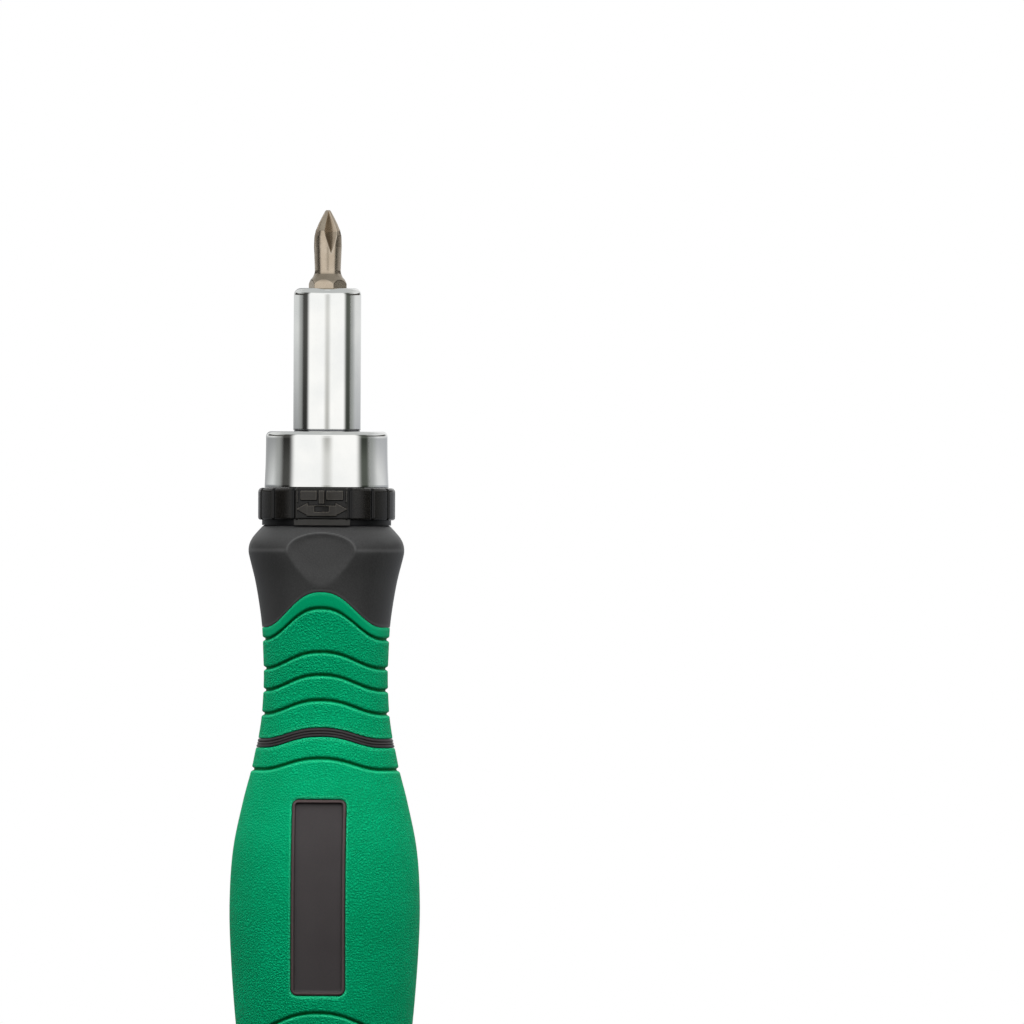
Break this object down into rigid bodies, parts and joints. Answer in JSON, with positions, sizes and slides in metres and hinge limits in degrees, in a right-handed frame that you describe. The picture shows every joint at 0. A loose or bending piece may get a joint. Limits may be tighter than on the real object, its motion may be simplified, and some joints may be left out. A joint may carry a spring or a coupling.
{
  "type": "ratcheting screwdriver",
  "caption": "Hand screwdriver with a soft-grip handle, a reversing ratchet under a selector ring, a magnetic hex-bit barrel and a pull-out bit store in the butt.",
  "frame": {"origin": "centre of the flat butt face", "axes": "+Z along the tool towards the bit's tip; the front, with the label window and the index tab, faces -Y"},
  "size_m": [0.0356, 0.0344, 0.18],
  "materials": {
    "core_plastic": "satin moulded",
    "grip_rubber": "fine leather grain",
    "plate_plastic": "satin moulded",
    "housing_steel": "blackened",
    "machined_steel": "machined",
    "spring_steel": "polished",
    "bush_brass": "machined",
    "barrel_chrome": "satin chrome",
    "magnet": "nickel plated",
    "bit_steel": "bead-blasted, champagne plated",
    "ring_plastic": "gloss moulded",
    "carrier_plastic": "moulded",
    "seal_rubber": "smooth"
  },
  "bodies": {
    "handle": {"handle_core": "core_plastic", "grip_upper": "grip_rubber", "grip_lower": "grip_rubber", "label_plate_front": "plate_plastic", "label_plate_back": "plate_plastic", "ratchet_housing": "housing_steel", "ratchet_cover": "machined_steel", "spindle_bush": "bush_brass", "pawl_pins": "machined_steel", "pawl_springs": "spring_steel"},
    "drive": {"barrel": "barrel_chrome", "spindle": "machined_steel", "ratchet_gear": "machined_steel", "bit_magnet": "magnet", "thrust_washer": "machined_steel", "circlip": "spring_steel"},
    "bit": {"screwdriver_bit": "bit_steel"},
    "selector": {"selector_ring": "ring_plastic", "selector_cam": "machined_steel"},
    "left_pawl": {"pawl_left": "machined_steel"},
    "right_pawl": {"pawl_right": "machined_steel"},
    "tail": {"end_cap": "core_plastic", "bit_carrier": "carrier_plastic", "cap_oring": "seal_rubber", "spare_bit_cross": "bit_steel", "spare_bit_slot": "bit_steel", "spare_bit_hex": "bit_steel", "spare_bit_star": "bit_steel", "spare_bit_square": "bit_steel"}
  },
  "joints": [
    {"name": "drive_spin", "type": "hinge", "parent": "handle", "child": "drive", "pos_m": [0, 0, 0.13], "axis": [0, 0, 1], "continuous": true},
    {"name": "bit_slide", "type": "slide", "parent": "drive", "child": "bit", "axis": [0, 0, 1], "range_m": [0, 0.012]},
    {"name": "selector_turn", "type": "hinge", "parent": "handle", "child": "selector", "pos_m": [0, 0, 0.125], "axis": [0, 0, 1], "range_deg": [-18, 18]},
    {"name": "left_pawl_swing", "type": "hinge", "parent": "handle", "child": "left_pawl", "pos_m": [-0.00521, -0.0062, 0.1245], "axis": [0, 0, 1], "range_deg": [-10, 10]},
    {"name": "right_pawl_swing", "type": "hinge", "parent": "handle", "child": "right_pawl", "pos_m": [0.00521, -0.0062, 0.1245], "axis": [0, 0, 1], "range_deg": [-10, 10]},
    {"name": "tail_slide", "type": "slide", "parent": "handle", "child": "tail", "axis": [0, 0, -1], "range_m": [0, 0.034]}
  ],
  "couplings": [
    {"joint": "left_pawl_swing", "follows": "selector_turn", "ratio": -0.5555},
    {"joint": "right_pawl_swing", "follows": "selector_turn", "ratio": -0.5555}
  ]
}
